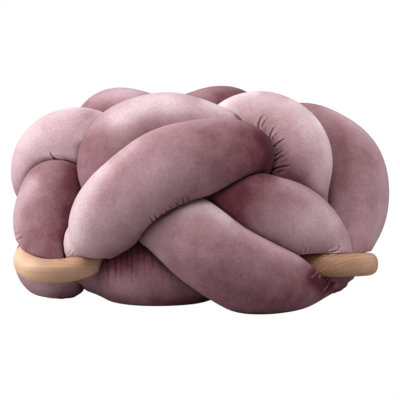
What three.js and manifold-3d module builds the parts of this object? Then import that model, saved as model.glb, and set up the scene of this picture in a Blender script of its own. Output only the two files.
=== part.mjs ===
// Knot ottoman: stuffed velvet tubes about 135 mm thick, plaited over and under each other into a round seat,
// and drawn through three wooden rings that stand a third of a turn apart.
// Millimetres, +Z up, the front looks towards -Y, and the origin is the middle of the footprint on the floor.
import * as THREE from "three";
import { mergeVertices } from "three/addons/utils/BufferGeometryUtils.js";
import Module from "manifold-3d";

const wasm = await Module();
wasm.setup();

// Wooden rings: the middle of the rod runs on a circle, and the rod's section is a softened square.
const RING_MIDDLE_RADIUS = 65;
const RING_HALF_THICKNESS = 20;
const RING_SQUARENESS = 2.5; // 2 is a round rod, more is squarer
const RING_SECTION_SIDES = 12;
const RING_SIDES = 32;

// Tubes: a section every so often along the route, each a ring of points.
const TUBE_SIDES = 12;
const SECTION_STEP = 38;
const NECK_GIRTH = 46; // half the width where a tube is drawn through a ring
const NECK_OFFSET = 17; // the two tubes in one ring lie this far to either side of its middle

const FLOOR_LEVEL = 10; // the floor's height in the route tables, where the filled tubes lie flattened
const SEAT_GAP = 0.3; // between a ring and the velvet that grips it
const FINEST = 0.2; // smaller steps where tubes cross are evened out

// The hidden middle, where the tubes' inner turns are packed together.
const CORE = { deep: 15, up: 182, halfWidth: 205, halfHeight: 95 };

// Where each ring lies, and how far its axis leans across and deep for each unit up.
const RINGS = {
  left: { across: -245, deep: -150, up: 89, leanAcross: -0.07, leanDeep: -0.23 },
  right: { across: 230, deep: -150, up: 77.5, leanAcross: 0.0, leanDeep: 0.11 },
  back: { across: 0, deep: 288, up: 78, leanAcross: 0.08, leanDeep: 0.1 },
};

// The side of a ring's hole that the tube coming up through it keeps to; the one going down takes the other side.
const RISER_SIDE = {
  left: { across: 0.97, deep: 0.24 },
  right: { across: 0.48, deep: 0.88 },
  back: { across: -1, deep: 0 },
};

// Legs of the tubes, a row for each bend: across, deep and up are the middle of the tube, and girth is half its width.
const COLUMNS = ["across", "deep", "up", "girth"];
const LEGS = {
  topLeftArch: [
    [100, 0, 232, 50],
    [60, -42, 272, 58],
    [18, -60, 290, 64],
    [-54, -72, 310, 68],
    [-90, -82, 308, 68],
    [-125, -97, 295, 68],
    [-145, -112, 274, 68],
    [-150, -122, 246, 68],
  ],
  frontSweep: [
    [-132, -145, 212, 64],
    [-92, -180, 186, 64],
    [-45, -213, 162, 66],
    [0, -246, 128, 68],
    [42, -258, 99, 70],
    [93, -255, 74, 70],
    [137, -241, 60, 58],
    [172, -222, 47, 45],
    [203, -190, 41, 34],
  ],
  rightFlank: [
    [256, -106, 104, 47],
    [270, -62, 146, 67],
    [276, -20, 194, 73],
    [268, 18, 238, 74],
    [235, 55, 266, 73],
    [190, 88, 278, 70],
    [130, 108, 256, 62],
    [60, 128, 238, 60],
    [-20, 146, 236, 62],
    [-90, 148, 236, 62],
    [-150, 120, 230, 60],
  ],
  backArch: [
    [-170, 0, 235, 58],
    [-190, 50, 280, 66],
    [-164, 92, 309, 68],
    [-92, 80, 306, 68],
    [-30, 76, 305, 68],
    [28, 98, 314, 68],
    [62, 145, 302, 68],
    [54, 192, 264, 66],
    [12, 212, 224, 64],
  ],
  leftFoot: [
    [-40, 205, 185, 62],
    [-100, 180, 145, 60],
    [-170, 140, 100, 62],
    [-230, 90, 70, 64],
    [-274, 28, 66, 66],
    [-278, -34, 64, 66],
    [-258, -94, 59, 60],
    [-240, -134, 57, 47],
  ],
  frontDiagonal: [
    [-197, -164, 120, 45],
    [-169, -184, 150, 57],
    [-143, -208, 184, 67],
    [-104, -236, 223, 68],
    [-56, -244, 256, 68],
    [3, -234, 273, 67],
    [46, -208, 279, 64],
    [72, -168, 272, 58],
    [80, -112, 250, 54],
    [78, -60, 222, 50],
  ],
  topRightArch: [
    [0, 75, 252, 58],
    [40, 38, 290, 62],
    [73, 5, 311, 66],
    [104, -22, 312, 66],
    [137, -52, 306, 64],
    [165, -87, 286, 62],
    [178, -112, 254, 62],
    [178, -122, 212, 60],
  ],
  backSweep: [
    [194, -80, 170, 58],
    [226, -6, 126, 66],
    [232, 78, 100, 72],
    [210, 160, 78, 70],
    [177, 209, 70, 66],
    [130, 246, 60, 60],
    [82, 264, 46, 44],
    [40, 276, 42, 34],
  ],
  leftFlank: [
    [-38, 274, 106, 48],
    [-92, 250, 146, 63],
    [-172, 206, 180, 70],
    [-244, 118, 198, 70],
    [-276, 50, 206, 70],
    [-284, 8, 226, 70],
    [-272, -12, 256, 70],
    [-246, -30, 276, 70],
    [-212, -46, 282, 68],
    [-178, -60, 270, 62],
    [-135, -60, 235, 54],
  ],
  rightShoulder: [
    [-70, -140, 232, 58],
    [-10, -156, 224, 60],
    [62, -202, 190, 68],
    [111, -220, 174, 69],
    [152, -204, 159, 67],
    [188, -178, 137, 60],
    [210, -166, 114, 53],
  ],
  rightHeel: [
    [232, -100, 56, 40],
    [230, -50, 62, 54],
    [226, 0, 68, 62],
    [195, 42, 74, 60],
    [140, 66, 86, 58],
    [70, 50, 120, 52],
  ],
  leftShoulder: [
    [-212, 12, 196, 60],
    [-236, -30, 210, 65],
    [-253, -58, 196, 69],
    [-263, -80, 164, 72],
    [-267, -102, 138, 68],
    [-262, -128, 116, 56],
  ],
  frontHeel: [
    [-218, -126, 66, 38],
    [-188, -122, 60, 45],
    [-160, -126, 60, 53],
    [-128, -146, 66, 61],
    [-95, -168, 70, 67],
    [-55, -178, 72, 66],
    [-8, -156, 73, 62],
    [20, -100, 86, 60],
    [10, -30, 120, 52],
  ],
  backShoulder: [
    [214, 80, 204, 62],
    [176, 156, 206, 66],
    [146, 204, 186, 68],
    [110, 236, 162, 66],
    [68, 258, 134, 60],
    [30, 274, 108, 50],
  ],
  backHeel: [
    [-40, 252, 56, 36],
    [-84, 226, 62, 58],
    [-118, 195, 70, 64],
    [-138, 148, 72, 62],
    [-126, 84, 86, 60],
    [-70, 30, 120, 52],
  ],
};

// Each tube runs over its legs in turn. rises tells whether it comes up through its ring or goes down through it.
const TUBES = [
  { legs: ["topLeftArch", "frontSweep"], ring: "right", rises: true, after: "rightFlank" },
  { legs: ["backArch", "leftFoot"], ring: "left", rises: true, after: "frontDiagonal" },
  { legs: ["topRightArch", "backSweep"], ring: "back", rises: true, after: "leftFlank" },
  { legs: ["rightShoulder"], ring: "right", rises: false, after: "rightHeel" },
  { legs: ["leftShoulder"], ring: "left", rises: false, after: "frontHeel" },
  { legs: ["backShoulder"], ring: "back", rises: false, after: "backHeel" },
];

const velvet = new THREE.MeshStandardMaterial({ color: 0x8d6672, roughness: 0.95, metalness: 0 });
const wood = new THREE.MeshStandardMaterial({ color: 0xc79a63, roughness: 0.55, metalness: 0 });

function solidOf(geometry) {
  const bare = geometry.clone();
  bare.deleteAttribute("normal");
  bare.deleteAttribute("uv");
  const merged = mergeVertices(bare, 1e-3);
  return new wasm.Manifold(
    new wasm.Mesh({
      numProp: 3,
      vertProperties: new Float32Array(merged.attributes.position.array),
      triVerts: new Uint32Array(merged.index.array),
    }),
  );
}

function geometryOf(solid) {
  const { vertProperties, triVerts } = solid.getMesh();
  const geometry = new THREE.BufferGeometry();
  geometry.setAttribute("position", new THREE.Float32BufferAttribute(vertProperties, 3));
  geometry.setIndex(new THREE.Uint32BufferAttribute(triVerts, 1));
  geometry.computeVertexNormals();
  return geometry;
}

function rowsOf(legName) {
  return LEGS[legName].map((row) => Object.fromEntries(COLUMNS.map((name, i) => [name, row[i]])));
}

// The row where a tube passes a ring, on its own side of the hole.
function neckRow({ ring, rises }) {
  const { across, deep, up } = RINGS[ring];
  const shift = rises ? NECK_OFFSET : -NECK_OFFSET;
  const side = RISER_SIDE[ring];
  return { across: across + side.across * shift, deep: deep + side.deep * shift, up, girth: NECK_GIRTH };
}

function girthAt(rows, along) {
  const place = along * (rows.length - 1);
  const before = Math.min(Math.floor(place), rows.length - 2);
  const blend = THREE.MathUtils.smoothstep(place - before, 0, 1);
  return THREE.MathUtils.lerp(rows[before].girth, rows[before + 1].girth, blend);
}

// A thin tube is extruded along the route, and each section is then swelled to its own girth.
function stuffedTube(tube) {
  const rows = [...tube.legs.flatMap(rowsOf), neckRow(tube), ...rowsOf(tube.after)];
  const middles = rows.map(({ across, deep, up }) => new THREE.Vector3(across, deep, up));
  const route = new THREE.CatmullRomCurve3(middles, false, "centripetal");
  const steps = Math.round(route.getLength() / SECTION_STEP);
  const thread = new THREE.Shape().absarc(0, 0, 1, 0, 2 * Math.PI, false);
  const geometry = new THREE.ExtrudeGeometry(thread, {
    extrudePath: route,
    steps,
    bevelEnabled: false,
    curveSegments: TUBE_SIDES / 2,
  });
  const centres = route.getSpacedPoints(steps);
  const girths = centres.map((_, i) => girthAt(rows, route.getUtoTmapping(i / steps)));
  const position = geometry.attributes.position;
  const point = new THREE.Vector3();
  for (let i = 0; i < position.count; i += 1) {
    point.fromBufferAttribute(position, i);
    let nearest = 0;
    centres.forEach((centre, k) => {
      if (point.distanceToSquared(centre) < point.distanceToSquared(centres[nearest])) nearest = k;
    });
    point.sub(centres[nearest]).multiplyScalar(girths[nearest]).add(centres[nearest]);
    position.setXYZ(i, point.x, point.y, point.z);
  }
  return geometry;
}

function ringGeometry({ across, deep, up, leanAcross, leanDeep }, grow) {
  const half = RING_HALF_THICKNESS + grow;
  const soften = (c) => Math.sign(c) * Math.abs(c) ** (2 / RING_SQUARENESS);
  const section = Array.from({ length: RING_SECTION_SIDES + 1 }, (_, i) => {
    const angle = (2 * Math.PI * (i % RING_SECTION_SIDES)) / RING_SECTION_SIDES;
    return new THREE.Vector2(RING_MIDDLE_RADIUS + half * soften(Math.cos(angle)), half * soften(Math.sin(angle)));
  });
  const axis = new THREE.Vector3(leanAcross, leanDeep, 1).normalize();
  const turn = new THREE.Quaternion().setFromUnitVectors(new THREE.Vector3(0, 1, 0), axis);
  return new THREE.LatheGeometry(section, RING_SIDES).applyQuaternion(turn).translate(across, deep, up);
}

function coreGeometry() {
  const { deep, up, halfWidth, halfHeight } = CORE;
  return new THREE.SphereGeometry(1, 20, 12).scale(halfWidth, halfWidth, halfHeight).translate(0, deep, up);
}

function floorGeometry() {
  const depth = 200;
  return new THREE.BoxGeometry(1200, 1200, depth).translate(0, 0, FLOOR_LEVEL - depth / 2);
}

// One soft solid: the tubes and the packed middle joined, flattened on the floor, and grooved where rings sit.
function knottedTubes() {
  let knot = solidOf(coreGeometry());
  TUBES.forEach((tube) => {
    knot = knot.add(solidOf(stuffedTube(tube)));
  });
  knot = knot.subtract(solidOf(floorGeometry()));
  Object.values(RINGS).forEach((ring) => {
    knot = knot.subtract(solidOf(ringGeometry(ring, SEAT_GAP)));
  });
  const bodies = knot.decompose().sort((a, b) => b.volume() - a.volume());
  return geometryOf(bodies[0].simplify(FINEST));
}

const placed = new THREE.Group();
const knot = new THREE.Mesh(knottedTubes(), velvet);
knot.name = "knotted_tubes";
placed.add(knot);
Object.entries(RINGS).forEach(([side, ring]) => {
  const mesh = new THREE.Mesh(ringGeometry(ring, 0), wood);
  mesh.name = `wooden_ring_${side}`;
  placed.add(mesh);
});

// The footprint's middle goes to the origin, with the floor at zero.
const middle = new THREE.Box3().setFromObject(placed).getCenter(new THREE.Vector3());
placed.position.set(-middle.x, -middle.y, -FLOOR_LEVEL);

const ottoman = new THREE.Group();
ottoman.add(placed);

export default ottoman;
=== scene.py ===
# %% [markdown]
# # A knot ottoman
# Thick velvet tubes are filled with fibre, plaited into a round seat and drawn through three wooden
# rings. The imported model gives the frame: its box, its one body called root, and a node for the velvet
# and each ring. Everything made below stays in that frame, in metres, and takes the place of the plain
# solids.

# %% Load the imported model
import math

import bmesh
import bpy
import numpy as np
from mathutils import Matrix, Vector


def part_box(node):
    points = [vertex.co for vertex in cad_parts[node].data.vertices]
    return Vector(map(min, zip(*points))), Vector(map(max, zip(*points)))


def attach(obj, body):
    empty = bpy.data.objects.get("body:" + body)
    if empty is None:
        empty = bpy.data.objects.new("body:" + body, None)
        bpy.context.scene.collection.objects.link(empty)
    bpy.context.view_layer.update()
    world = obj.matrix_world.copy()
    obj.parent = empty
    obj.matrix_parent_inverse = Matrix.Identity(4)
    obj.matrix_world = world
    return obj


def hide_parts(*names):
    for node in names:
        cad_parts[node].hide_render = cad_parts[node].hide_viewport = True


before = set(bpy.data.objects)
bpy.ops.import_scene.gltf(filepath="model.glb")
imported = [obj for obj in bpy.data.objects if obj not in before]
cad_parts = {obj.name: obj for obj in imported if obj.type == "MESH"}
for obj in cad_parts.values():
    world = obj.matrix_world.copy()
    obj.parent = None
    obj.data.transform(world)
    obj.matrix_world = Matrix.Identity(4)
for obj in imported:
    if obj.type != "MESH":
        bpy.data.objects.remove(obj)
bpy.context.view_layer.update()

scene = bpy.context.scene

# %% [markdown]
# ## Where things are
# The tubes and rings are laid out in millimetres, with the floor a little above zero, because a filled
# tube sinks into its own flattened underside. Empties in the scene could mark these places, but a table
# is easier to change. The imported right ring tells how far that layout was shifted, so no shift is typed
# twice.

# %% Ring places and the shift into the frame
MM = 0.001
TINY = 1e-6
FLOOR_LEVEL = 10
RING_MIDDLE_RADIUS = 65
RING_HALF_THICKNESS = 20
# 2 is a round rod, more is squarer
RING_SQUARENESS = 2.5

# across, deep, up, and how far the axis leans across and deep for each unit up
RINGS = {
    "left": (-245, -150, 89, -0.07, -0.23),
    "right": (230, -150, 77.5, 0.0, 0.11),
    "back": (0, 288, 78, 0.08, 0.10),
}

low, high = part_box("wooden_ring_right")
SHIFT = np.array((low + high) / 2) / MM - np.array(RINGS["right"][:3])
SHIFT[2] = -FLOOR_LEVEL


def in_frame(points):
    """Layout millimetres to metres in the frame."""
    return (np.asarray(points, float) + SHIFT) * MM


def ring_pose(side):
    """The ring's centre in metres and its axis."""
    across, deep, up, lean_across, lean_deep = RINGS[side]
    axis = np.array([lean_across, lean_deep, 1.0])
    return in_frame([across, deep, up]), axis / np.linalg.norm(axis)


print("layout shift in mm:", SHIFT.round(2))

# %% [markdown]
# ## Camera
# The photo looks taken from the front, from a little above the seat, with a long lens. A camera far away
# with a narrow view gives a like flat perspective. The look-at point lies on the seat's axis, a bit below
# mid height. The same sums also tell at which pixel of the photo a point shows, so folds and brush marks
# can be given in its pixels.

# %% Camera
PHOTO_PIXELS = 400
CAMERA_DISTANCE = 3.2
CAMERA_ELEVATION = math.radians(6.5)
LOOK_AT_HEIGHT = 174
VIEW_WIDTH = 0.74
SENSOR = 36.0

look_at = Vector(in_frame([0, 0, LOOK_AT_HEIGHT]))
towards_camera = Vector((0, -math.cos(CAMERA_ELEVATION), math.sin(CAMERA_ELEVATION)))
camera_data = bpy.data.cameras.new("front_camera")
camera_data.sensor_width = SENSOR
camera_data.lens = SENSOR * CAMERA_DISTANCE / VIEW_WIDTH
camera = bpy.data.objects.new("front_camera", camera_data)
camera.location = look_at + towards_camera * CAMERA_DISTANCE
camera.rotation_euler = (-towards_camera).to_track_quat("-Z", "Y").to_euler()
scene.collection.objects.link(camera)
scene.camera = camera


def as_seen(points):
    """Pixels (x right, y down) in the photo's frame, where the camera sees these points."""
    seen = np.asarray(points, float) - np.array(camera.location)
    forward = -np.array(towards_camera)
    upward = np.array([0, math.sin(CAMERA_ELEVATION), math.cos(CAMERA_ELEVATION)])
    depth = seen @ forward
    scale = PHOTO_PIXELS * CAMERA_DISTANCE / VIEW_WIDTH / depth
    right = PHOTO_PIXELS / 2 + seen[..., 0] * scale
    down = PHOTO_PIXELS / 2 - (seen @ upward) * scale
    return np.stack([right, down], -1)


def facing_camera(places, normals):
    """How squarely the skin looks at the camera: 1 straight at it, 0 at the rim, below 0 away from it."""
    to_camera = np.array(camera.location) - places
    to_camera /= np.linalg.norm(to_camera, axis=1, keepdims=True)
    return (normals * to_camera).sum(1)


print("lens in mm:", round(camera_data.lens, 1))

# %% [markdown]
# ## The tubes' routes
# Each tube runs over, under and through the others, and two pass each ring: one comes up through it, one
# goes down. A route is a short table of bends: where the middle of the tube is, and half its width there.
# A bezier curve with a bevel could carry it too, but a plain table lets the tubes feel each other further
# down.

# %% Routes
# Each row is a bend: across, deep, up, girth (half the width), in layout millimetres.
LEGS = {
    "top_left_arch": [
        (100, 0, 232, 50), (60, -42, 272, 58), (18, -60, 290, 64), (-54, -72, 310, 68),
        (-90, -82, 308, 68), (-125, -97, 295, 68), (-145, -112, 274, 68), (-150, -122, 246, 68),
    ],
    "front_sweep": [
        (-132, -145, 212, 64), (-92, -174, 186, 66), (-46, -207, 162, 71), (1, -245, 129, 74),
        (44, -258, 100, 72), (93, -255, 74, 70), (137, -241, 60, 58), (171, -222, 50, 43),
        (203, -190, 48, 30),
    ],
    "right_flank": [
        (256, -106, 104, 47), (270, -62, 146, 67), (276, -20, 194, 73), (266, 18, 235, 73),
        (233, 55, 262, 72), (190, 88, 278, 70), (130, 108, 256, 62), (60, 128, 238, 60),
        (-20, 146, 236, 62), (-90, 148, 236, 62), (-150, 120, 230, 60),
    ],
    "back_arch": [
        (-165, 2, 235, 56), (-181, 52, 279, 63), (-157, 94, 309, 67), (-92, 82, 297, 66),
        (-30, 78, 296, 66), (28, 98, 311, 68), (62, 145, 300, 68), (54, 192, 264, 66),
        (12, 212, 224, 64),
    ],
    "left_foot": [
        (-40, 205, 185, 62), (-100, 180, 145, 60), (-170, 140, 100, 62), (-230, 90, 70, 64),
        (-272, 28, 67, 65), (-275, -34, 66, 64), (-257, -94, 60, 59), (-241, -134, 60, 46),
    ],
    "front_diagonal": [
        (-192, -172, 120, 45), (-170, -198, 150, 62), (-145, -217, 183, 70), (-104, -239, 221, 71),
        (-55, -248, 254, 71), (3, -234, 273, 67), (46, -208, 279, 64), (72, -168, 272, 58),
        (80, -112, 250, 54), (78, -60, 222, 50),
    ],
    "top_right_arch": [
        (14, 70, 248, 56), (50, 34, 284, 60), (80, 2, 307, 64), (108, -24, 312, 66),
        (137, -52, 306, 64), (165, -87, 286, 62), (176, -113, 254, 61), (171, -124, 212, 58),
    ],
    "back_sweep": [
        (180, -84, 170, 54), (224, -6, 126, 66), (232, 78, 100, 72), (210, 160, 78, 70),
        (177, 209, 70, 66), (130, 246, 60, 60), (82, 264, 46, 44), (40, 276, 42, 34),
    ],
    "left_flank": [
        (-38, 274, 106, 48), (-92, 250, 146, 63), (-172, 206, 180, 70), (-244, 118, 198, 70),
        (-274, 42, 199, 71), (-279, 0, 217, 71), (-273, -12, 255, 70), (-246, -30, 276, 70),
        (-212, -46, 282, 68), (-178, -60, 270, 62), (-135, -60, 235, 54),
    ],
    "right_shoulder": [
        (-70, -140, 232, 58), (-10, -156, 224, 60), (62, -202, 190, 68), (111, -220, 174, 69),
        (152, -203, 160, 69), (188, -178, 138, 62), (210, -166, 114, 53),
    ],
    "right_heel": [
        (230, -100, 58, 39), (222, -46, 66, 50), (214, 4, 70, 60), (190, 42, 74, 60), (140, 66, 86, 58),
        (70, 50, 120, 52),
    ],
    "left_shoulder": [
        (-196, 10, 206, 60), (-217, -33, 221, 66), (-245, -62, 202, 70), (-260, -81, 167, 70),
        (-268, -103, 137, 67), (-265, -128, 114, 58),
    ],
    "front_heel": [
        (-214, -140, 70, 36), (-186, -138, 68, 44), (-158, -142, 67, 54), (-128, -160, 66, 62),
        (-95, -178, 69, 68), (-55, -188, 71, 67), (-8, -166, 72, 63), (20, -100, 86, 60),
        (10, -30, 120, 52),
    ],
    "back_shoulder": [
        (214, 80, 204, 62), (176, 156, 206, 66), (146, 204, 186, 68), (110, 236, 162, 66),
        (68, 258, 134, 60), (30, 274, 108, 50),
    ],
    "back_heel": [
        (-40, 252, 56, 36), (-84, 226, 62, 58), (-118, 195, 70, 64), (-138, 148, 72, 62),
        (-126, 84, 86, 60), (-70, 30, 120, 52),
    ],
    "inner_coil": [
        (-25, 30, 110, 66), (-25, 25, 172, 84), (30, -15, 190, 74), (75, -70, 168, 72),
        (150, -60, 184, 78), (178, 10, 180, 76), (150, 90, 170, 74), (70, 150, 168, 74),
        (-22, 186, 154, 76), (-120, 120, 168, 74), (-150, 30, 168, 74), (-135, -50, 165, 70),
        (-70, -95, 160, 66), (0, -105, 150, 62),
    ],
}

# tube name: legs before the ring, the ring, whether it comes up through it, and the leg after
TUBES = {
    "tube_front_sweep": (["top_left_arch", "front_sweep"], "right", True, "right_flank"),
    "tube_front_diagonal": (["back_arch", "left_foot"], "left", True, "front_diagonal"),
    "tube_left_flank": (["top_right_arch", "back_sweep"], "back", True, "left_flank"),
    "tube_right_shoulder": (["right_shoulder"], "right", False, "right_heel"),
    "tube_left_shoulder": (["left_shoulder"], "left", False, "front_heel"),
    "tube_back_shoulder": (["back_shoulder"], "back", False, "back_heel"),
    "tube_inner_coil": (["inner_coil"], None, False, None),
}
RISING_NECK = 44
SINKING_NECK = 48
NECK_OFFSET = 17
# the side of the hole, across and deep, that the tube coming up through it keeps to
RISER_SIDE = {"left": (0.97, 0.24), "right": (0.48, 0.88), "back": (-1, 0)}


def tube_rows(legs, ring, rises, after):
    """All bends of a tube, with one more where it passes its ring beside its partner."""
    before = [row for leg in legs for row in LEGS[leg]]
    if ring is None:
        return np.array(before, float)
    across, deep, up = RINGS[ring][:3]
    side_across, side_deep = RISER_SIDE[ring]
    shift = NECK_OFFSET if rises else -NECK_OFFSET
    girth = RISING_NECK if rises else SINKING_NECK
    neck = (across + side_across * shift, deep + side_deep * shift, up, girth)
    return np.array(before + [neck] + LEGS[after], float)


print("bends per tube:", {name: len(tube_rows(*t)) for name, t in TUBES.items()})

# %% [markdown]
# ## From bends to a smooth run
# A filled tube bends evenly. A centripetal spline through the bends makes no loops, which a plain one can
# where bends lie close. It is then stepped at an even length, and the girth follows along. A little
# smoothing takes out what is left of the single bends, as filling does in real cloth.

# %% Smooth runs
SECTION_STEP = 3.2 * MM
SPAN_STEPS = 60
RUN_SMOOTHING = 3.5
ROUND_END = 45 * MM
FIRST_UP = (0.3, 0.2, 1.0)


def blur(values, spread):
    """Gaussian smoothing along the first axis, with the ends held."""
    reach = int(3 * spread)
    weights = np.exp(-0.5 * (np.arange(-reach, reach + 1) / spread) ** 2)
    weights /= weights.sum()
    first = 2 * values[:1] - values[1 : reach + 1][::-1]
    last = 2 * values[-1:] - values[-reach - 1 : -1][::-1]
    padded = np.concatenate([first, values, last])
    return sum(w * padded[i : i + len(values)] for i, w in enumerate(weights))


def between(t, start, end, from_row, to_row):
    """The row at t, on the straight way from one row to another."""
    return (end - t) / (end - start) * from_row + (t - start) / (end - start) * to_row


def spline(rows):
    """Centripetal Catmull-Rom through the rows' points, with the girth carried along."""
    points = np.vstack([2 * rows[0] - rows[1], rows, 2 * rows[-1] - rows[-2]])
    out = []
    for p0, p1, p2, p3 in zip(points, points[1:], points[2:], points[3:]):
        t0 = 0.0
        t1 = t0 + np.linalg.norm(p1[:3] - p0[:3]) ** 0.5
        t2 = t1 + np.linalg.norm(p2[:3] - p1[:3]) ** 0.5
        t3 = t2 + np.linalg.norm(p3[:3] - p2[:3]) ** 0.5
        t = np.linspace(t1, t2, SPAN_STEPS, endpoint=False)[:, None]
        a1 = between(t, t0, t1, p0, p1)
        a2 = between(t, t1, t2, p1, p2)
        a3 = between(t, t2, t3, p2, p3)
        b1 = between(t, t0, t2, a1, a2)
        b2 = between(t, t1, t3, a2, a3)
        out.append(between(t, t1, t2, b1, b2))
    return np.vstack(out + [rows[-1:]])


class Run:
    """A tube's middle line, its girth, and a pair of directions across it at every section."""

    def __init__(self, rows):
        fine = spline(rows)
        fine[:, :3] = in_frame(fine[:, :3])
        fine[:, 3] *= MM
        steps = np.linalg.norm(np.diff(fine[:, :3], axis=0), axis=1)
        length = np.concatenate([[0], np.cumsum(steps)])
        self.along = np.linspace(0, length[-1], int(length[-1] / SECTION_STEP))
        even = np.stack([np.interp(self.along, length, fine[:, k]) for k in range(4)], 1)
        even = blur(even, RUN_SMOOTHING)
        self.middle, self.girth = even[:, :3], even[:, 3]
        from_end = np.minimum(self.along, self.along[-1] - self.along)
        self.taper = np.sqrt(np.clip(1 - (1 - np.clip(from_end / ROUND_END, 0, 1)) ** 2, 0, 1))
        self.tangent = np.gradient(self.middle, axis=0)
        self.tangent /= np.linalg.norm(self.tangent, axis=1, keepdims=True)
        side = np.cross(self.tangent[0], FIRST_UP)
        sides = []
        for t in self.tangent:
            side = side - t * (side @ t)
            side = side / np.linalg.norm(side)
            sides.append(side)
        self.side = np.array(sides)
        self.other = np.cross(self.tangent, self.side)
        self.bend = np.gradient(self.tangent, axis=0) / SECTION_STEP


runs = {name: Run(tube_rows(*t)) for name, t in TUBES.items()}
for name, run in runs.items():
    print(f"{name}: {run.along[-1]:.2f} m long, {len(run.along)} sections")

# %% [markdown]
# ## How filled tubes meet
# Two filled tubes that press on each other share a flat wall, and their skins turn away from it in a
# tight crease. That wall is where both tubes are equally deep, so each point of a section is stopped
# there. The floor stops it too, and the inside of a bend has less room. A cloth simulation could find
# such walls too. Working them out keeps every tube on the route in its table.

# %% Contact
AROUND = 128
CREASE_ROUND = 8 * MM
FLOOR_ROUND = 9 * MM
BEND_ROUND = 6 * MM
# share of a bend's radius that the skin inside it may take, where it bends more than gently (1 per metre)
BEND_ROOM = 1.05
GENTLE_BEND = 1.0
NEIGHBOUR_STEP = 2
NEIGHBOUR_REACH = 20 * MM
OWN_REACH = 0.19
WALL_GAP = 0.4 * MM
LEAST_WALL = 0.1
LEAST_SKIN = 0.02
LEVEL = 1e-3
FAR_OFF = 1.0
SKIN_SMOOTHING = 1.2

angles = np.linspace(0, 2 * math.pi, AROUND, endpoint=False)


def soft_min(a, b, round_over):
    """The smaller of two lengths, rounded over where they are close."""
    blend = np.clip(0.5 + 0.5 * (b - a) / round_over, 0, 1)
    return b * (1 - blend) + a * blend - round_over * blend * (1 - blend)


def neighbours(name):
    """Middles, girths and run positions of every section that may press on this tube."""
    middle, girth, along, own = [], [], [], []
    keep = slice(None, None, NEIGHBOUR_STEP)
    for other, run in runs.items():
        middle.append(run.middle[keep])
        girth.append((run.girth * run.taper)[keep])
        along.append(run.along[keep])
        own.append(np.full(len(run.along[keep]), other == name))
    return [np.concatenate(x) for x in (middle, girth, along, own)]


def section_radii(name):
    """How far the skin stands from the middle, for every section and angle."""
    run = runs[name]
    girth = run.girth * run.taper
    middle, other_girth, other_along, own = neighbours(name)
    radii = np.empty((len(girth), AROUND))
    for i in range(len(girth)):
        out = np.cos(angles)[:, None] * run.side[i] + np.sin(angles)[:, None] * run.other[i]
        near = ~own | (np.abs(other_along - run.along[i]) > OWN_REACH)
        apart = middle[near] - run.middle[i]
        squared = (apart**2).sum(1)
        reach = squared < (girth[i] + other_girth[near] + NEIGHBOUR_REACH) ** 2
        limit = np.full(AROUND, FAR_OFF)
        if reach.any():
            lean = out @ apart[reach].T
            wall = (squared[reach] + girth[i] ** 2 - other_girth[near][reach] ** 2) / 2
            stops = np.where(lean > TINY, wall / np.where(lean > TINY, lean, 1.0), FAR_OFF)
            limit = np.clip(stops.min(1) - WALL_GAP, LEAST_WALL * girth[i], FAR_OFF)
        inward = out @ run.bend[i]
        tight = np.where(inward > GENTLE_BEND, BEND_ROOM / np.maximum(inward, GENTLE_BEND), FAR_OFF)
        radius = soft_min(np.full(AROUND, girth[i]), tight, BEND_ROUND)
        radius = soft_min(radius, limit, CREASE_ROUND)
        drop = -out[:, 2]
        floor = np.where(drop > LEVEL, run.middle[i, 2] / np.maximum(drop, LEVEL), FAR_OFF)
        radii[i] = np.maximum(soft_min(radius, floor, FLOOR_ROUND), LEAST_SKIN * girth[i])
    return radii


def wrapped_blur(radii, spread):
    """Smooths radii along the run and around the section."""
    around = np.concatenate([radii, radii, radii], 1)
    around = blur(around.T, spread)[AROUND : 2 * AROUND].T
    return blur(around, spread)


radii = {name: wrapped_blur(section_radii(name), SKIN_SMOOTHING) for name in runs}
for name, reach in radii.items():
    print(f"{name}: skin {reach.min() / MM:.0f} to {reach.max() / MM:.0f} mm from the middle")

# %% [markdown]
# ## Filling and gathers
# Hand-stuffed filling is never quite even, and cloth falls into small pleats where it is drawn through a
# ring or bends tightly. A noise modifier could roughen the whole skin alike. Long sine waves in several
# directions give soft lumps, and waves that are tied to the ring and to the bend put the pleats only
# where cloth is short of room.

# %% Lumps and gathers
LUMP_COUNT = 10
LUMP_LENGTH = 0.055
LUMP_HEIGHT = 0.7 * MM
GATHER_AT = 34 * MM
GATHER_REACH = 20 * MM
GATHER_COUNT = 19
GATHER_DEPTH = 0.35 * MM
# how far the gathers sway from even places, how often around, and how fast along
GATHER_SWAY = (1.6, 3, 9)
PLEAT_PITCH = 21 * MM
PLEAT_DEPTH = 2.2 * MM
PLEAT_SWAY = (0.8, 31)
# pleats begin where the girth is this share of the bend's radius, and are full a little further in
PLEAT_FROM = 0.5
PLEAT_FULL_AFTER = 0.3

rng = np.random.default_rng(5)
LUMPS = [(rng.normal(size=3) / LUMP_LENGTH, rng.uniform(0, 2 * math.pi)) for _ in range(LUMP_COUNT)]


def lumps(points):
    """Soft unevenness of hand-stuffed filling."""
    return sum(LUMP_HEIGHT * np.sin(points @ wave + phase) for wave, phase in LUMPS)


def past_ring(run, side):
    """How far along the run each section lies past the ring."""
    centre, _ = ring_pose(side)
    return run.along - run.along[np.argmin(np.linalg.norm(run.middle - centre, axis=1))]


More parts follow.
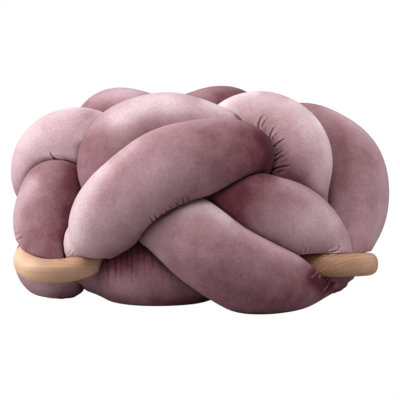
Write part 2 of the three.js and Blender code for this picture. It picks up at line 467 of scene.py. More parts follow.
def gathers(name, out):
    """Small pleats: round the neck beside a ring, and across the inside of tight bends."""
    run = runs[name]
    _, ring, _, _ = TUBES[name]
    relief = np.zeros((len(run.along), AROUND))
    if ring:
        past = past_ring(run, ring)
        near = np.exp(-(((np.abs(past) - GATHER_AT) / GATHER_REACH) ** 2))
        sway, sways_around, sways_along = GATHER_SWAY
        sway = sway * np.sin(sways_around * angles + past[:, None] * sways_along)
        relief += GATHER_DEPTH * near[:, None] * np.cos(GATHER_COUNT * angles + sway)
    inward = (out * run.bend[:, None]).sum(-1) * run.girth[:, None]
    tight = np.clip((inward - PLEAT_FROM) / PLEAT_FULL_AFTER, 0, 1)
    sway, sways_along = PLEAT_SWAY
    pleat = np.abs(np.sin(math.pi * run.along / PLEAT_PITCH + sway * np.sin(run.along * sways_along)))
    return relief - PLEAT_DEPTH * tight * ((1 - pleat) ** 2)[:, None]


print("longest lump wave in mm:", round(max(2 * math.pi / np.linalg.norm(w) for w, _ in LUMPS) / MM))

# %% [markdown]
# ## Rings press into the cloth
# A wooden ring grips two tubes. Above and below it, the cloth swells over the wood like a cushion on a
# shelf. A boolean could clear the wood too, but would leave a hard cut edge. Here each point that would
# stand in the rod is moved out to just past its surface, on a side that the tube may take, so the cloth
# lies closely on the wood.

# %% Clear of the rings
RING_GAP = 0.8 * MM
HOLD_ABOVE = 165 * MM
HOLD_BELOW = 60 * MM
RING_SHELF = 110 * MM
# from this share of the hold, the shelf sinks by this much for each unit along
SHELF_ENDS_FROM = 0.75
SHELF_SLOPE = 1.5
LEAST_DEPTH = 1e-4


def out_of_rings(name, points):
    """Moves points that stand in a rod to its surface. A tube stays above or below its own ring."""
    reach = RING_HALF_THICKNESS * MM + RING_GAP
    _, own_ring, rises, _ = TUBES[name]
    for side in RINGS:
        centre, axis = ring_pose(side)
        rel = points - centre
        height = rel @ axis
        flat = rel - height[..., None] * axis
        far = np.linalg.norm(flat, axis=-1)
        radial = far - RING_MIDDLE_RADIUS * MM
        rim, rise = radial.copy(), height.copy()
        if side == own_ring:
            past = past_ring(runs[name], side)
            above = (past > 0) == rises
            hold = np.where(above, HOLD_ABOVE, HOLD_BELOW)
            close = (np.abs(past) < hold)[:, None] & (far < RING_SHELF)
            up = np.where(above, 1.0, -1.0)[:, None]
            drop = SHELF_SLOPE * np.maximum(np.abs(past) - SHELF_ENDS_FROM * hold, 0)[:, None]
            rim = np.where(close, np.minimum(radial, 0), radial)
            rise = np.where(close, np.maximum(height * up + drop, 0) * up, height)
        depth = (np.abs(rim) / reach) ** RING_SQUARENESS + (np.abs(rise) / reach) ** RING_SQUARENESS
        inside = (depth < 1) & (far > TINY)
        grow = np.maximum(depth, LEAST_DEPTH) ** (-1 / RING_SQUARENESS)
        new_radial = np.where(rim == 0, radial, rim * grow)
        new_height = np.where(rise == 0, height, rise * grow)
        if side == own_ring:
            stuck = close & (rim == 0) & (rise == 0)
            new_height = np.where(stuck, up * reach, new_height)
            new_height = np.where(close, new_height - up * drop, new_height)
        unit = flat / np.maximum(far, TINY)[..., None]
        new_flat = unit * (RING_MIDDLE_RADIUS * MM + new_radial)[..., None]
        moved = centre + new_flat + new_height[..., None] * axis
        points = np.where(inside[..., None], moved, points)
    return points


def skin_points(name):
    """The skin as an array of sections by angles by xyz."""
    run = runs[name]
    cosines = np.cos(angles)[None, :, None]
    sines = np.sin(angles)[None, :, None]
    out = cosines * run.side[:, None] + sines * run.other[:, None]
    points = run.middle[:, None] + out * radii[name][..., None]
    fade = run.taper[:, None, None]
    points = points + out * fade * (lumps(points) + gathers(name, out))[..., None]
    points = out_of_rings(name, points)
    points[..., 2] = np.maximum(points[..., 2], 0.0)
    return points


skin_places = {name: skin_points(name) for name in runs}
print("highest point of the cloth in mm:", round(max(p[..., 2].max() for p in skin_places.values()) / MM))

# %% [markdown]
# ## Skins
# A sewn tube is a flat strip of velvet, closed along one edge. Its skin is made the same way: a flat grid
# is rolled round the run, with its width round the section and its length along, and keeps its flat map.
# The two long edges are then welded, and so are the round ends. A bevelled curve would be quicker, but
# every section would be round.

# %% Roll the grids
WELD = 2e-6
NO_LENGTH = 1e-7


def rolled_skin(points):
    """A grid of the tube's sections, welded into one closed skin."""
    sections = len(points)
    bm = bmesh.new()
    bm.loops.layers.uv.new("around_and_along")
    bmesh.ops.create_grid(bm, x_segments=AROUND, y_segments=sections - 1, size=0.5, calc_uvs=True)
    for vert in bm.verts:
        place = round((vert.co.x + 0.5) * AROUND) % AROUND
        section = round((vert.co.y + 0.5) * (sections - 1))
        vert.co = points[section, place]
    bmesh.ops.remove_doubles(bm, verts=bm.verts, dist=WELD)
    bmesh.ops.dissolve_degenerate(bm, dist=NO_LENGTH, edges=bm.edges)
    bmesh.ops.recalc_face_normals(bm, faces=bm.faces)
    return bm


skins = {name: rolled_skin(points) for name, points in skin_places.items()}
for name, bm in skins.items():
    print(f"{name}: {len(bm.faces)} faces, {sum(not edge.is_manifold for edge in bm.edges)} open edges")

# %% [markdown]
# ## Folds
# Where a tube is squeezed by its neighbour, its velvet gathers in short sharp folds, each deepest where
# the cloth is nipped. A sculptor would draw them with a crease brush. Here each fold is a line in
# the photo's pixels: the skin is divided more finely near it, then pressed in along its normals, with a
# small lip on both sides.

# %% Where the folds lie
# depth in mm (below zero is a ridge), half width in pixels, and the line from its faint to its deep end
FOLDS = {
    "tube_left_flank": [
        (1.4, 0.8, [(235, 114), (239, 118.5), (243.5, 123)]),
        (0.5, 0.7, [(246.5, 117), (246.5, 125)]),
        (0.6, 0.7, [(249.7, 116), (249.7, 126)]),
        (0.6, 0.7, [(252.6, 117), (252.8, 127)]),
        (2.3, 0.9, [(264, 113.5), (260.2, 119), (258.3, 124.5), (259, 131)]),
        (1.3, 0.8, [(268, 117.5), (264.5, 122), (262, 127)]),
        (0.8, 0.7, [(266, 127), (264.8, 134)]),
        (2.0, 0.8, [(276.5, 125.5), (272.6, 129.5), (270.4, 134.5), (269, 140)]),
        (1.2, 0.8, [(280, 131.7), (275, 135.5), (271.2, 141)]),
        (2.1, 0.8, [(286.5, 138), (280.5, 141.3), (276, 144.5), (273.5, 147.5)]),
        (0.8, 0.7, [(282, 146.5), (275.5, 152.5)]),
        (1.4, 0.8, [(284, 149), (278, 153.5), (274.5, 156.5)]),
        (1.6, 0.8, [(287.5, 153.5), (280, 157.5), (274.5, 161.5)]),
        (0.8, 0.8, [(288.5, 158.5), (281, 163)]),
        (1.8, 0.9, [(292, 164.8), (283, 166.5), (277, 168), (273, 170)]),
        (0.9, 0.8, [(286, 169.5), (277, 172)]),
        (2.4, 0.9, [(49.5, 150), (51.2, 155), (55, 159.5), (62, 160.5)]),
    ],
    "tube_front_diagonal": [
        (1.6, 0.9, [(148.5, 216), (152.5, 221), (156.5, 224)]),
        (1.4, 0.9, [(153.5, 214), (157, 219), (159.5, 222.5)]),
        (1.0, 0.8, [(159.5, 212), (161.5, 215), (163.5, 219)]),
        (1.2, 0.8, [(164.5, 208), (166.5, 211), (168.5, 215)]),
        (1.0, 0.8, [(169.5, 205), (171.3, 208), (172.8, 212)]),
        (1.2, 0.8, [(175.5, 201), (177, 204), (178.3, 209)]),
        (1.4, 0.8, [(181.5, 197), (183, 200), (184, 206)]),
        (1.0, 0.8, [(187, 195), (187.8, 198), (188.2, 204)]),
        (0.6, 0.7, [(72, 249), (68.5, 254.5)]),
        (0.5, 0.7, [(76, 251), (72, 255.5)]),
    ],
    "tube_left_shoulder": [
        (0.5, 1.4, [(108.9, 294), (108.2, 274), (107.0, 246)]),
        (0.6, 1.3, [(116.2, 284), (115.5, 264), (114.5, 244)]),
        (0.2, 1.0, [(120.8, 290), (121.2, 244)]),
        (0.3, 1.2, [(127.6, 276), (126.5, 242)]),
        (0.4, 1.0, [(132.4, 290), (131.2, 240)]),
        (0.2, 1.0, [(138.8, 272), (137.2, 240)]),
        (0.3, 1.2, [(145.5, 284), (143.0, 238)]),
        (0.4, 1.1, [(153.5, 272), (150.5, 240)]),
        (0.3, 1.2, [(165.0, 290), (160.5, 262)]),
        (0.3, 1.0, [(175.0, 294), (171.0, 274)]),
        (0.8, 0.9, [(24, 236), (16, 241)]),
        (0.6, 0.9, [(22, 231), (13.5, 236)]),
    ],
    "tube_front_sweep": [
        (-1.3, 0.7, [(312, 277), (316, 274), (318, 270.5)]),
        (-1.2, 0.7, [(319.5, 278), (320.5, 274.5), (321.7, 270.5)]),
        (-1.1, 0.7, [(325, 282), (326.5, 279), (328, 276)]),
        (-1.3, 0.7, [(324, 290.5), (327.3, 286.5), (329.5, 279.5)]),
    ],
    "tube_right_shoulder": [
        (1.6, 0.8, [(338.3, 244), (339.2, 247.5), (338, 250.3), (331, 252.2)]),
        (0.8, 0.9, [(306.5, 246), (304.4, 252)]),
        (0.7, 0.9, [(310.5, 246), (308.5, 252)]),
    ],
}
print("folds on each tube:", {name: len(folds) for name, folds in FOLDS.items()})

# %% Press the folds
# a fold is faint over this first share of its length
FOLD_FADE = 0.35
LIP_HEIGHT = 0.5
LIP_AT = 2.2
FINE_WITHIN = 3
FOLD_CUTS = 3
LEAST_FACING = 0.05


def to_line(seen, line):
    """Distance in pixels from a line of points, and how far along it (0 to 1) the nearest place is."""
    nearest = np.full(len(seen), np.inf)
    along = np.zeros(len(seen))
    line = np.array(line, float)
    lengths = np.linalg.norm(np.diff(line, axis=0), axis=1)
    for start, end, length, done in zip(line, line[1:], lengths, np.cumsum(lengths) - lengths):
        part = np.clip((seen - start) @ (end - start) / length**2, 0, 1)
        off = np.linalg.norm(seen - start - part[:, None] * (end - start), axis=1)
        along = np.where(off < nearest, (done + part * length) / lengths.sum(), along)
        nearest = np.minimum(off, nearest)
    return nearest, along


def eased(share):
    """Goes softly from 0 to 1 as the share does."""
    share = np.clip(share, 0, 1)
    return share**2 * (3 - 2 * share)


def fold_strength(seen, half_width, line):
    """How strongly a fold is felt at these pixels: full near its deep end, with a small lip on both sides."""
    off, along = to_line(seen, line)
    side = off / half_width
    return eased(along / FOLD_FADE) * (np.exp(-(side**2)) - LIP_HEIGHT * np.exp(-((side - LIP_AT) ** 2)))


def facing_and_seen(bm):
    """Which points of the skin look at the camera, and their pixels."""
    places = np.array([vert.co for vert in bm.verts])
    normals = np.array([vert.normal for vert in bm.verts])
    return facing_camera(places, normals) > LEAST_FACING, as_seen(places)


def press_folds(bm, folds):
    """Divides the grid more finely near the folds, then presses them in along the skin's normals."""
    bm.normal_update()
    facing, seen = facing_and_seen(bm)
    near = np.zeros(len(facing), bool)
    for _, half_width, line in folds:
        low = np.min(line, axis=0) - FINE_WITHIN * half_width
        high = np.max(line, axis=0) + FINE_WITHIN * half_width
        near |= ((seen > low) & (seen < high)).all(1)
    near &= facing
    bm.verts.index_update()
    edges = [edge for edge in bm.edges if near[edge.verts[0].index] and near[edge.verts[1].index]]
    bmesh.ops.subdivide_edges(bm, edges=edges, cuts=FOLD_CUTS, use_grid_fill=True)
    bm.normal_update()
    facing, seen = facing_and_seen(bm)
    press = sum(depth * MM * fold_strength(seen, half_width, line) for depth, half_width, line in folds)
    for vert, depth, faces in zip(bm.verts, press, facing):
        if faces:
            vert.co -= vert.normal * depth


for name, folds in FOLDS.items():
    press_folds(skins[name], folds)
    print(f"{name}: {len(folds)} folds, now {len(skins[name].faces)} faces")

# %% [markdown]
# ## Finished tubes
# The folded skins now become objects, one for each tube. Smooth shading hides their grid, which is a few
# millimetres wide. A subdivision modifier would make it finer, with four times the faces.

# %% Make the tubes


def smooth_piece(name, bm):
    """A smooth-shaded object from a finished bmesh, which is freed."""
    for face in bm.faces:
        face.smooth = True
    mesh = bpy.data.meshes.new(name)
    bm.to_mesh(mesh)
    bm.free()
    piece = bpy.data.objects.new(name, mesh)
    scene.collection.objects.link(piece)
    return piece


tubes = {name: smooth_piece(name, bm) for name, bm in skins.items()}
print("triangles in the velvet:", sum(len(p.vertices) - 2 for t in tubes.values() for p in t.data.polygons))

# %% [markdown]
# ## Brushed pile, with painted light and shade
# Velvet keeps the marks of every hand that strokes it: brushed one way its pile is pale and greyish,
# brushed the other way it stays deep plum. The same strokes also paint light and shade: painted
# highlights on lit edges and tops, and painted shade in folds, creases, on undersides and where one tube
# lies under another.
# Vertex paint could hold this. Here strokes, from broad sweeps to thin lines, lie on the tubes that the
# photo shows and fade softly round their sides. They were placed by comparing renders with the photo, so
# some of them make up for light that differs from the photo's. Each point of a skin keeps its own value,
# so the marks stay on the cloth from every side.

# %% Where the pile is brushed and light and shade are painted
# how much paler (or deeper, below zero), the half width in pixels, and the line of the stroke. Paler
# strokes hold pale pile and painted highlights, deeper ones deep pile and painted shade.
PILE_AND_LIGHT_STROKES = {
    "tube_front_sweep": [
        # pale pile and a painted highlight on top of the arch
        (0.50, 17, [(119, 116), (138, 107), (154, 101), (164, 102)]),
        (0.14, 11, [(92, 108), (86, 122)]),
        (0.33, 16, [(186, 104), (216, 112)]),
        # painted light along the upper edge, lifting the shade under the tube above
        (0.35, 12, [(186, 206), (205, 204), (225, 217)]),
        (0.13, 9, [(238, 230), (270, 247), (296, 258)]),
        (-0.04, 16, [(88, 142), (94, 165)]),
        (0.25, 6, [(206, 100), (220, 106), (232, 113)]),
        (0.06, 24, [(362, 195), (366, 230)]),
        (0.15, 14, [(346, 110), (366, 124)]),
        # painted shade along the underside
        (-0.10, 30, [(220, 303), (280, 306)]),
        (0.10, 5, [(208, 204), (240, 226), (275, 247), (300, 258)]),
        (0.14, 6, [(150, 243), (160, 258)]),
        (0.05, 22, [(172, 228), (205, 236)]),
        (-0.05, 26, [(304, 292), (332, 284)]),
        # painted shade in the hollow beside the right ring
        (-0.40, 11, [(318, 278), (325, 283), (330, 288)]),
        # these four: painted highlights on the ridges of the gathers
        (0.30, 0.9, [(312, 277), (316, 274), (318, 270.5)]),
        (0.34, 0.9, [(319.5, 278), (320.5, 274.5), (321.7, 270.5)]),
        (0.28, 0.9, [(325, 282), (326.5, 279), (328, 276)]),
        (0.34, 0.9, [(324, 290.5), (327.3, 286.5), (329.5, 279.5)]),
        (0.24, 4, [(343, 277), (336, 286), (328, 295)]),
        # painted sheen along the rim
        (0.20, 9, [(330, 106), (364, 122), (384, 160), (390, 200), (378, 240)]),
        (0.06, 22, [(362, 225), (362, 245)]),
        # painted shade in the crease beside the tube in front
        (-0.08, 8, [(336, 122), (342, 140), (345, 165), (342, 186)]),
    ],
    "tube_front_diagonal": [
        # painted highlight along the left edge, where light grazes from the left
        (0.44, 12, [(68, 246), (73, 218), (84, 191), (97, 174)]),
        (0.27, 10, [(108, 164), (118, 155), (130, 147)]),
        (0.07, 16, [(92, 240), (104, 226)]),
        (0.20, 26, [(88, 240), (124, 212), (150, 190), (162, 172)]),
        (0.14, 7, [(136, 139), (150, 131), (185, 120), (235, 116)]),
        (-0.09, 8, [(110, 256), (140, 240), (165, 215), (190, 203)]),
        # these two: deep pile and painted shade where the tube turns away under another
        (-0.18, 42, [(262, 155), (276, 185)]),
        (-0.22, 10, [(266, 136), (273, 152), (268, 172)]),
        (0.22, 16, [(88, 100), (110, 92), (130, 92)]),
        # painted shade in the recess behind
        (-0.16, 9, [(220, 100), (234, 95), (246, 91)]),
        (0.08, 10, [(186, 92), (204, 92)]),
        (0.12, 8, [(118, 92), (142, 90)]),
        (-0.15, 7, [(84, 104), (96, 107), (106, 108)]),
        (-0.10, 10, [(62, 292), (80, 284)]),
        (0.14, 22, [(30, 282), (60, 285)]),
    ],
    "tube_left_flank": [
        # pale pile and a painted highlight along the top
        (0.36, 18, [(226, 106), (262, 98), (292, 104), (304, 114)]),
        (0.28, 13, [(314, 130), (320, 155), (322, 184)]),
        (0.22, 6, [(318, 118), (330, 150), (331, 176)]),
        (0.10, 14, [(288, 134), (300, 156)]),
        (0.02, 10, [(262, 120), (276, 140), (282, 160)]),
        # painted shade on the lower part
        (-0.15, 16, [(282, 172), (300, 190)]),
        (0.12, 5, [(292, 100), (312, 112), (326, 135), (332, 162)]),
        (0.14, 6, [(40, 162), (56, 156), (74, 156)]),
        # painted highlight along the left side, where light grazes from the left
        (0.35, 16, [(10, 190), (14, 150), (36, 118), (72, 104)]),
        (0.23, 26, [(45, 145), (70, 138)]),
        (0.30, 5, [(221, 103), (236, 95), (254, 91)]),
        (0.25, 6, [(220, 106), (233, 113)]),
        (0.34, 5, [(83, 138), (93, 122), (103, 112)]),
        (0.25, 4, [(60, 106), (80, 105), (100, 109)]),
        # painted shade on the underside above the crease
        (-0.14, 8, [(14, 196), (28, 179), (46, 166)]),
    ],
    "tube_right_shoulder": [
        (0.27, 20, [(312, 224), (328, 232), (342, 246)]),
        # painted shade along the contact line under the tube above
        (-0.10, 5, [(206, 187), (250, 172), (276, 177)]),
        (0.10, 22, [(268, 212), (292, 224)]),
        (0.18, 9, [(282, 181), (312, 195), (334, 220)]),
        (0.10, 16, [(268, 226), (300, 240)]),
        # painted shadow of the tube above on the left end
        (-0.24, 50, [(185, 188), (228, 200)]),
        # painted shade under the right ring
        (-0.14, 12, [(340, 288), (352, 280)]),
    ],
    "tube_left_shoulder": [
        # painted highlight along the left rim, where light grazes from the left
        (0.30, 8, [(13, 240), (15, 210), (23, 194), (32, 183)]),
        # painted shade beside the tube in front
        (-0.22, 18, [(78, 172), (72, 228)]),
        (-0.10, 18, [(38, 240), (58, 242)]),
        # painted shadow under the tube and the ring above
        (-0.25, 18, [(102, 262), (118, 260), (140, 250)]),
        (-0.05, 24, [(150, 280), (190, 290)]),
        (0.08, 13, [(92, 282), (132, 284)]),
        # painted shade along the bottom, next to the floor
        (-0.10, 6, [(104, 300), (150, 304), (208, 300)]),
    ],
}
print("strokes on each tube:", {name: len(strokes) for name, strokes in PILE_AND_LIGHT_STROKES.items()})

# %% Brush the pile and paint light and shade
PILE_AT_REST = 0.195
# below zero the value is painted shade, deeper than the pile; near one it is pale pile and painted sheen
DEEPEST_PAINTED_SHADE = -0.15
PALEST_PILE_AND_PAINTED_SHEEN = 1.0
# a stroke fades out round the tube's sides, between these two ways of facing the camera
STROKE_ENDS = -0.6
STROKE_FULL = 0.0
# painted shade down each fold, with a painted highlight on its lips
FOLD_SHADE = 0.11


def points_and_normals(mesh):
    """Two arrays of xyz, one row for each point of the mesh."""
    places = np.empty(len(mesh.vertices) * 3)
    normals = np.empty(len(mesh.vertices) * 3)
    mesh.vertices.foreach_get("co", places)
    mesh.vertex_normals.foreach_get("vector", normals)
    return places.reshape(-1, 3), normals.reshape(-1, 3)


def paint_pile_and_light(piece):
    """Keeps on every point of a skin how pale its pile is, from 0 (deep, less in folds, where shade is
    painted) to 1 (pale, with painted highlights).
    """
    places, normals = points_and_normals(piece.data)
    wrap = eased((facing_camera(places, normals) - STROKE_ENDS) / (STROKE_FULL - STROKE_ENDS))
    seen = as_seen(places)
    pile_and_light = np.full(len(places), PILE_AT_REST)
    # each stroke adds pale pile and painted highlights, and below zero deep pile and painted shade
    for paler, half_width, line in PILE_AND_LIGHT_STROKES.get(piece.name, []):
        off, _ = to_line(seen, line)
        pile_and_light += paler * wrap * np.exp(-((off / half_width) ** 2))
    # painted shade in the folds, and painted highlights on their lips
    for depth, half_width, line in FOLDS.get(piece.name, []):
        if depth > 0:
            pile_and_light -= FOLD_SHADE * depth * wrap * fold_strength(seen, half_width, line)
    pile_and_light = np.clip(pile_and_light, DEEPEST_PAINTED_SHADE, PALEST_PILE_AND_PAINTED_SHEEN)
    layer = piece.data.attributes.new("pile_and_painted_light", "FLOAT", "POINT")
    layer.data.foreach_set("value", pile_and_light.astype(np.float32))
    return pile_and_light


for name, piece in tubes.items():
    pile_and_light = paint_pile_and_light(piece)
    print(f"{name}: pile from {pile_and_light.min():.2f} to {pile_and_light.max():.2f}")

# %% [markdown]
# ## Velvet
# Velvet is a short pile on a woven ground: deep plum when looked into, pale where it is brushed over.
# Hair strands could grow on the skin, but a great many would be needed at this size. Instead the pile
# value picks the colour on a ramp: painted shade below zero, deep plum, then a pale greyish pink that is
# brushed pile and painted sheen. Soft patches shift it a little, a fine noise varies it tuft by tuft,
# and a slight sheen with almost no gloss makes the rims soft.

# %% Helpers for materials


def new_material(name):
    """A material and its nodes."""
    material = bpy.data.materials.new(name)
    material.use_nodes = True
    return material, material.node_tree.nodes


def add_node(nodes, kind, sockets=()):
    """A shader node with some of its sockets set."""
    node = nodes.new(f"ShaderNode{kind}")
    for socket, value in dict(sockets).items():
        node.inputs[socket].default_value = value
    return node


def link(start, output, end, socket):
    """Joins an output of one node to a socket of another."""
    start.id_data.links.new(start.outputs[output], end.inputs[socket])


def noise_node(nodes, scale, detail, roughness):
    return add_node(nodes, "TexNoise", {"Scale": scale, "Detail": detail, "Roughness": roughness})


def bump_node(nodes, strength, distance):
    return add_node(nodes, "Bump", {"Strength": strength, "Distance": distance})


def range_node(nodes, *ends):
    return add_node(nodes, "MapRange", zip(("From Min", "From Max", "To Min", "To Max"), ends))


def multiply_node(nodes):
    node = add_node(nodes, "MixRGB", {"Fac": 1.0})
    node.blend_type = "MULTIPLY"
    return node


def attribute_node(nodes, name):
    node = add_node(nodes, "Attribute")
    node.attribute_name = name
    return node


def ramp_node(nodes, stops):
    """A colour ramp from pairs of a place and a colour."""
    node = add_node(nodes, "ValToRGB")
    while len(node.color_ramp.elements) < len(stops):
        node.color_ramp.elements.new(0.5)
    for element, (place, colour) in zip(node.color_ramp.elements, stops):
        element.position = place
        element.color = (*colour, 1)
    return node


print("materials before the velvet:", len(bpy.data.materials))

# %% Velvet material
# pile value, and the colour that a strand shows there: the first is painted shade, the last pale pile
# with painted sheen
PILE_AND_PAINTED_LIGHT_COLOURS = [
    (DEEPEST_PAINTED_SHADE, (0.060, 0.011, 0.018)),
    (0.00, (0.130, 0.038, 0.050)),
    (0.40, (0.400, 0.245, 0.272)),
    (PALEST_PILE_AND_PAINTED_SHEEN, (0.800, 0.665, 0.685)),
]
# each noise's scale, detail and roughness
PATCHES = (30, 5, 0.7)
TUFTS = (420, 2, 0.5)
# the middle part of the patches' noise, and how far it shifts the pile value
PATCH_SPAN = (0.25, 0.75)
PATCH_RANGE = 0.08
TUFT_SHADES = [(0.3, (0.8, 0.8, 0.8)), (0.7, (1.08, 1.08, 1.08))]
# strength and distance
TUFT_BUMP = (0.3, 0.8 * MM)
VELVET_ROUGHNESS = 0.9
VELVET_GLOSS = 0.05
VELVET_SHEEN = 0.05
SHEEN_ROUGHNESS = 0.5
SHEEN_TINT = (1.0, 0.74, 0.79, 1)

velvet, nodes = new_material("plum_velvet")
shader = nodes["Principled BSDF"]
coords = add_node(nodes, "TexCoord")
pile_and_painted_light = attribute_node(nodes, "pile_and_painted_light")
patches = noise_node(nodes, *PATCHES)
tufts = noise_node(nodes, *TUFTS)
uneven = range_node(nodes, *PATCH_SPAN, -PATCH_RANGE, PATCH_RANGE)
pale_part = add_node(nodes, "Math")
pale_part.operation = "ADD"
on_ramp = range_node(nodes, DEEPEST_PAINTED_SHADE, PALEST_PILE_AND_PAINTED_SHEEN, 0, 1)
stops = [((pile_and_light - DEEPEST_PAINTED_SHADE) / (PALEST_PILE_AND_PAINTED_SHEEN - DEEPEST_PAINTED_SHADE), colour) for pile_and_light, colour in PILE_AND_PAINTED_LIGHT_COLOURS]
# the ramp paints shade at its deep end and sheen at its pale end
pile_and_light_ramp = ramp_node(nodes, stops)
tuft_colour = ramp_node(nodes, TUFT_SHADES)
mix = multiply_node(nodes)
bump = bump_node(nodes, *TUFT_BUMP)
for texture in (patches, tufts):
    link(coords, "Object", texture, "Vector")
link(patches, "Fac", uneven, "Value")
link(uneven, "Result", pale_part, 0)
link(pile_and_painted_light, "Fac", pale_part, 1)
link(pale_part, "Value", on_ramp, "Value")
link(on_ramp, "Result", pile_and_light_ramp, "Fac")
link(tufts, "Fac", tuft_colour, "Fac")
link(pile_and_light_ramp, "Color", mix, "Color1")
link(tuft_colour, "Color", mix, "Color2")
link(mix, "Color", shader, "Base Color")
link(tufts, "Fac", bump, "Height")
link(bump, "Normal", shader, "Normal")
shader.inputs["Roughness"].default_value = VELVET_ROUGHNESS
shader.inputs["Specular IOR Level"].default_value = VELVET_GLOSS
shader.inputs["Sheen Weight"].default_value = VELVET_SHEEN
shader.inputs["Sheen Roughness"].default_value = SHEEN_ROUGHNESS
shader.inputs["Sheen Tint"].default_value = SHEEN_TINT
for piece in tubes.values():
    piece.data.materials.append(velvet)
print("velvet nodes:", len(nodes))

# %% [markdown]
# ## Wooden rings
# Each ring is turned from pale wood: a rod with a softened square section, sanded smooth and oiled. A
# torus would give a round rod. Here a circle is pulled towards a square and spun round the ring's axis,
# as a lathe would turn it, which gives a clean, even grid all the way round.

# %% Rings
RING_STEPS = 160
PROFILE_POINTS = 40


def upright_to(axis):
    """The turn from standing straight up to the ring's axis."""
    return Vector((0, 0, 1)).rotation_difference(Vector(axis)).to_matrix()


def wooden_ring(side):
    """A softened square profile, spun into a ring and put in its place."""
    centre, axis = ring_pose(side)
    bm = bmesh.new()
    made = bmesh.ops.create_circle(bm, cap_ends=False, segments=PROFILE_POINTS, radius=1.0)
    for vert in made["verts"]:
        soft = [math.copysign(abs(c) ** (2 / RING_SQUARENESS), c) for c in (vert.co.x, vert.co.y)]
        across = RING_MIDDLE_RADIUS + RING_HALF_THICKNESS * soft[0]
        vert.co = Vector((across * MM, 0, RING_HALF_THICKNESS * soft[1] * MM))
    profile = bm.verts[:] + bm.edges[:]
    bmesh.ops.spin(
        bm, geom=profile, cent=(0, 0, 0), axis=(0, 0, 1), angle=2 * math.pi, steps=RING_STEPS, use_merge=True
    )
    bmesh.ops.remove_doubles(bm, verts=bm.verts, dist=TINY)
    place = Matrix.Translation(Vector(centre)) @ upright_to(axis).to_4x4()
    bmesh.ops.transform(bm, matrix=place, verts=bm.verts)
    bmesh.ops.recalc_face_normals(bm, faces=bm.faces)
    return smooth_piece(f"ring_{side}", bm)


rings = {side: wooden_ring(side) for side in RINGS}
print("ring faces:", {side: len(piece.data.polygons) for side, piece in rings.items()})

# %% [markdown]
# ## Grain
# Each ring is made as if cut from its own board, so its growth lines run in their own direction. They
# show most on the right ring and fade more into plain pale wood on the others. Across a ring the fading
# also paints light and shade: both ends of the left ring are pale as painted highlights, and the right
# ring is darker with stronger lines on its shaded left side and paler towards its right end. Texture
# coordinates alone would give all three the same figure. So every point of a ring keeps its place in the
# board, and how strongly the lines show there.

# %% Place in the board, and painted light on the wood
GRAIN_TURN = {"left": 2.4, "right": 0.0, "back": 4.3}
# how strongly the lines show mid-ring, how much more to the right, and how much less at both ends;
# across a ring this also paints highlights and shade
GRAIN_AND_PAINTED_LIGHT = {"left": (0.75, 0.15, 0.6), "right": (1.0, -0.28, 0.0), "back": (0.60, 0.0, 0.0)}


def keep_grain_and_light(side):
    """Keeps on each point of a ring its place in the board and the strength of the lines there, which also
    paints highlights and shade.
    """
    mesh = rings[side].data
    centre, axis = ring_pose(side)
    into_board = np.array(Matrix.Rotation(GRAIN_TURN[side], 3, "Z") @ upright_to(axis).transposed())
    places, _ = points_and_normals(mesh)
    in_board = (places - centre) @ into_board.T
    layer = mesh.attributes.new("in_board", "FLOAT_VECTOR", "POINT")
    layer.data.foreach_set("vector", in_board.ravel().astype(np.float32))
    middle, more, less = GRAIN_AND_PAINTED_LIGHT[side]
    outer = (RING_MIDDLE_RADIUS + RING_HALF_THICKNESS) * MM
    right = (places[:, 0] - centre[0]) / outer
    shows = np.clip(middle + more * right - less * right**2, 0, 1)
    layer = mesh.attributes.new("grain_and_painted_light", "FLOAT", "POINT")
    layer.data.foreach_set("value", shows.astype(np.float32))
    return shows


for side in RINGS:
    shows = keep_grain_and_light(side)
    print(f"ring_{side}: growth lines show from {shows.min():.2f} to {shows.max():.2f}")

# %% [markdown]
# ## Wood
# Growth lines are shells round the tree's middle, which lies beside the ring, so they run along its front
# and curve down towards one end. A wave texture gives lines that are all alike. Here the distance from
# that middle, a little wavy, feeds a noise along one line, which gives fine uneven lines. Broad soft
# patches vary the tone.

# %% Wood material
GROWTH_LINES = (850, 2, 0.55)
LINE_SHADES = [(0.40, (0.22, 0.098, 0.048)), (0.5, (0.37, 0.19, 0.105)), (0.60, (0.46, 0.25, 0.148))]
LINE_BUMP = (0.2, 0.5 * MM)
PITH = (0.06, 0.0, -0.05)
FLATTEN = (0.65, 0.15, 1.0)
WAVES = (16, 2, 0.5)
WAVE_SIZE = 6 * MM
PALE_WOOD = (0.66, 0.43, 0.30)
BROAD_PATCHES = (22, 2, 0.5)
BROAD_SHADES = [(0.3, (0.88, 0.86, 0.84)), (0.7, (1.1, 1.1, 1.1))]
WOOD_ROUGHNESS = 0.55


def vector_node(nodes, operation):
    node = add_node(nodes, "VectorMath")
    node.operation = operation
    return node


wood, nodes = new_material("oiled_wood")
shader = nodes["Principled BSDF"]
board = attribute_node(nodes, "in_board")
waves = noise_node(nodes, *WAVES)
wave_size = vector_node(nodes, "SCALE")
wave_size.inputs["Scale"].default_value = WAVE_SIZE
wavy = vector_node(nodes, "ADD")
from_pith = vector_node(nodes, "SUBTRACT")
from_pith.inputs[1].default_value = PITH
flat = vector_node(nodes, "MULTIPLY")
flat.inputs[1].default_value = FLATTEN
far = vector_node(nodes, "LENGTH")
lines = noise_node(nodes, *GROWTH_LINES)
lines.noise_dimensions = "1D"
line_colour = ramp_node(nodes, LINE_SHADES)
grain_and_painted_light = attribute_node(nodes, "grain_and_painted_light")
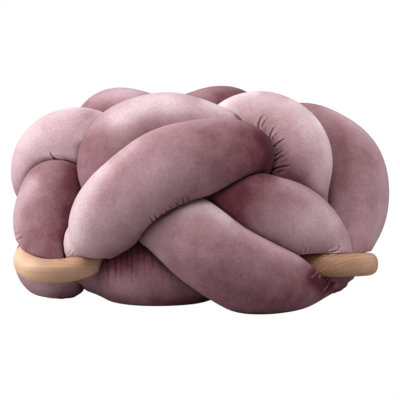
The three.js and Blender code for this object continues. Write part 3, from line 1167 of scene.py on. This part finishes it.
# plain pale wood shows where the lines fade, which also paints the highlights at the left ring's ends
plain = add_node(nodes, "MixRGB", {"Color1": (*PALE_WOOD, 1)})
broad = noise_node(nodes, *BROAD_PATCHES)
broad_colour = ramp_node(nodes, BROAD_SHADES)
mix = multiply_node(nodes)
bump = bump_node(nodes, *LINE_BUMP)
link(board, "Vector", waves, "Vector")
link(waves, "Color", wave_size, 0)
link(board, "Vector", wavy, 0)
link(wave_size, "Vector", wavy, 1)
link(wavy, "Vector", from_pith, 0)
link(from_pith, "Vector", flat, 0)
link(flat, "Vector", far, 0)
link(far, "Value", lines, "W")
link(lines, "Fac", line_colour, "Fac")
link(board, "Vector", broad, "Vector")
link(broad, "Fac", broad_colour, "Fac")
link(grain_and_painted_light, "Fac", plain, "Fac")
link(line_colour, "Color", plain, "Color2")
link(plain, "Color", mix, "Color1")
link(broad_colour, "Color", mix, "Color2")
link(mix, "Color", shader, "Base Color")
link(lines, "Fac", bump, "Height")
link(bump, "Normal", shader, "Normal")
shader.inputs["Roughness"].default_value = WOOD_ROUGHNESS
for piece in rings.values():
    piece.data.materials.append(wood)
print("growth lines are about", round(1 / GROWTH_LINES[0] / MM, 1), "mm apart")

# %% [markdown]
# ## Floor and room
# The ottoman stands on a pale floor in a dim white room. A curved backdrop would do as well, but a wide
# flat floor is simpler. The camera sees floor and room as plain white, as on a cut-out photo, while they
# still throw light back onto the cloth and the wood.

# %% Floor and room
FLOOR_HALF_SIZE = 30
FLOOR_GREY = (0.45, 0.45, 0.45, 1)
FLOOR_ROUGHNESS = 0.9
ROOM_STRENGTH = 0.16
WHITE = (1, 1, 1, 1)


def white_to_camera(nodes, shade, output):
    """The camera sees plain white, while the shade still lights the ottoman."""
    ray = add_node(nodes, "LightPath")
    kind = "Emission" if output.type == "OUTPUT_MATERIAL" else "Background"
    glow = add_node(nodes, kind, {"Color": WHITE, "Strength": 1.0})
    choose = add_node(nodes, "MixShader")
    link(ray, "Is Camera Ray", choose, "Fac")
    link(shade, 0, choose, 1)
    link(glow, 0, choose, 2)
    link(choose, "Shader", output, "Surface")


bm = bmesh.new()
bmesh.ops.create_grid(bm, x_segments=1, y_segments=1, size=FLOOR_HALF_SIZE)
floor_mesh = bpy.data.meshes.new("studio_floor")
bm.to_mesh(floor_mesh)
bm.free()
floor = bpy.data.objects.new("studio_floor", floor_mesh)
scene.collection.objects.link(floor)
pale, nodes = new_material("pale_floor")
shader = nodes["Principled BSDF"]
shader.inputs["Base Color"].default_value = FLOOR_GREY
shader.inputs["Roughness"].default_value = FLOOR_ROUGHNESS
white_to_camera(nodes, shader, nodes["Material Output"])
floor_mesh.materials.append(pale)

world = bpy.data.worlds.new("studio_room")
world.use_nodes = True
scene.world = world
nodes = world.node_tree.nodes
room = nodes["Background"]
room.inputs["Color"].default_value = WHITE
room.inputs["Strength"].default_value = ROOM_STRENGTH
white_to_camera(nodes, room, nodes["World Output"])
scene.view_settings.view_transform = "Standard"
print("floor in metres:", tuple(floor.dimensions)[:2])

# %% [markdown]
# ## Lamps
# The photo looks softly lit from above, more from the left. A sky picture could do that, but lamps can be
# set one by one: seven round soft lamps, the strongest above on the left and above in front, with weaker
# ones on the right, low at the sides, in front and behind.

# %% Lamps
LAMP_SIZE = 1.2
LAMP_AIM = Vector((0, 0, 0.15))
# where each lamp hangs, in metres, and its watts
LAMPS = {
    "key_above_left": ((-1.7, -0.4, 1.6), 37),
    "above_front": ((0, -1.4, 2.0), 30),
    "front_fill": ((0, -2.6, 0.7), 3),
    "above_right": ((1.7, -0.4, 1.6), 14),
    "low_left": ((-2.2, -0.3, 0.5), 20),
    "low_right": ((2.2, -0.3, 0.6), 8),
    "above_back": ((0.2, 1.5, 1.9), 16),
}

for name, (place, watts) in LAMPS.items():
    data = bpy.data.lights.new(name, "AREA")
    data.shape = "DISK"
    data.size = LAMP_SIZE
    data.energy = watts
    lamp = bpy.data.objects.new(name, data)
    lamp.location = place
    lamp.rotation_euler = (LAMP_AIM - Vector(place)).to_track_quat("-Z", "Y").to_euler()
    scene.collection.objects.link(lamp)
print("watts in all:", sum(watts for _, watts in LAMPS.values()))

# %% [markdown]
# ## Riding on one body
# Nothing on the ottoman moves by itself: the rings sit fast in the cloth. So every piece rides on the one
# body, and the plain solid it stands for is hidden.

for piece in tubes.values():
    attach(piece, "root")
    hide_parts("knotted_tubes")
for side, piece in rings.items():
    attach(piece, "root")
    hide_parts(f"wooden_ring_{side}")
